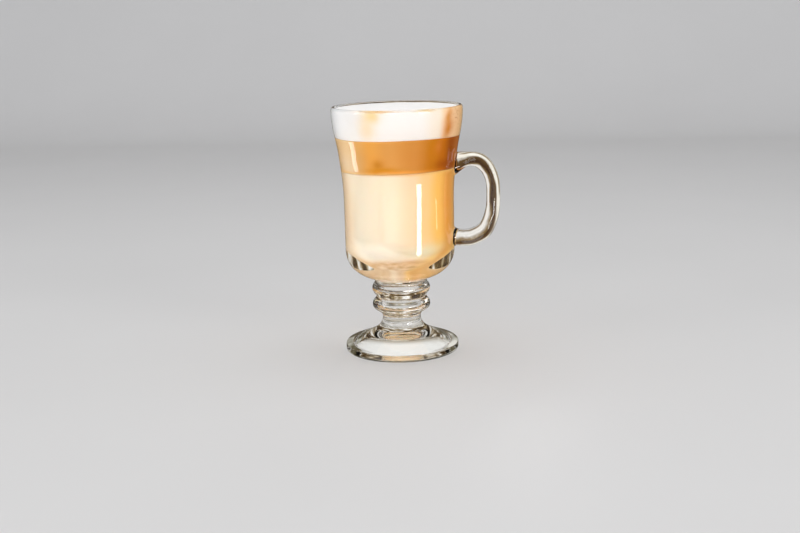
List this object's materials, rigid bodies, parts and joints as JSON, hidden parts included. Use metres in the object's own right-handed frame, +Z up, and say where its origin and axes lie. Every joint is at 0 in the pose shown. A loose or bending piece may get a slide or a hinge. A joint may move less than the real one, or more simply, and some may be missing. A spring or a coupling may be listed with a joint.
{
  "type": "cappuccino in a footed glass mug",
  "caption": "Layered cappuccino of milk, coffee and milk foam in a clear footed glass mug with a beaded stem and a loop handle.",
  "frame": {"origin": "the middle of the whole object's footprint box, on the surface that the foot stands on; the mug's own axis is 10.7 mm from it towards -X", "axes": "+Z up along the mug's axis, +X from the bowl towards the handle, +Y to the back; the object is the same on both sides of the XZ plane"},
  "size_m": [0.0982, 0.077, 0.146],
  "materials": {
    "clear_glass": "fire polished, clear and colourless",
    "milk": "opaque cream-coloured liquid",
    "milky_coffee": "opaque caramel-brown liquid",
    "milk_foam": "fine dense milk foam"
  },
  "bodies": {
    "root": {"glass": "clear_glass", "milk": "milk", "coffee": "milky_coffee", "foam": "milk_foam"}
  },
  "joints": []
}
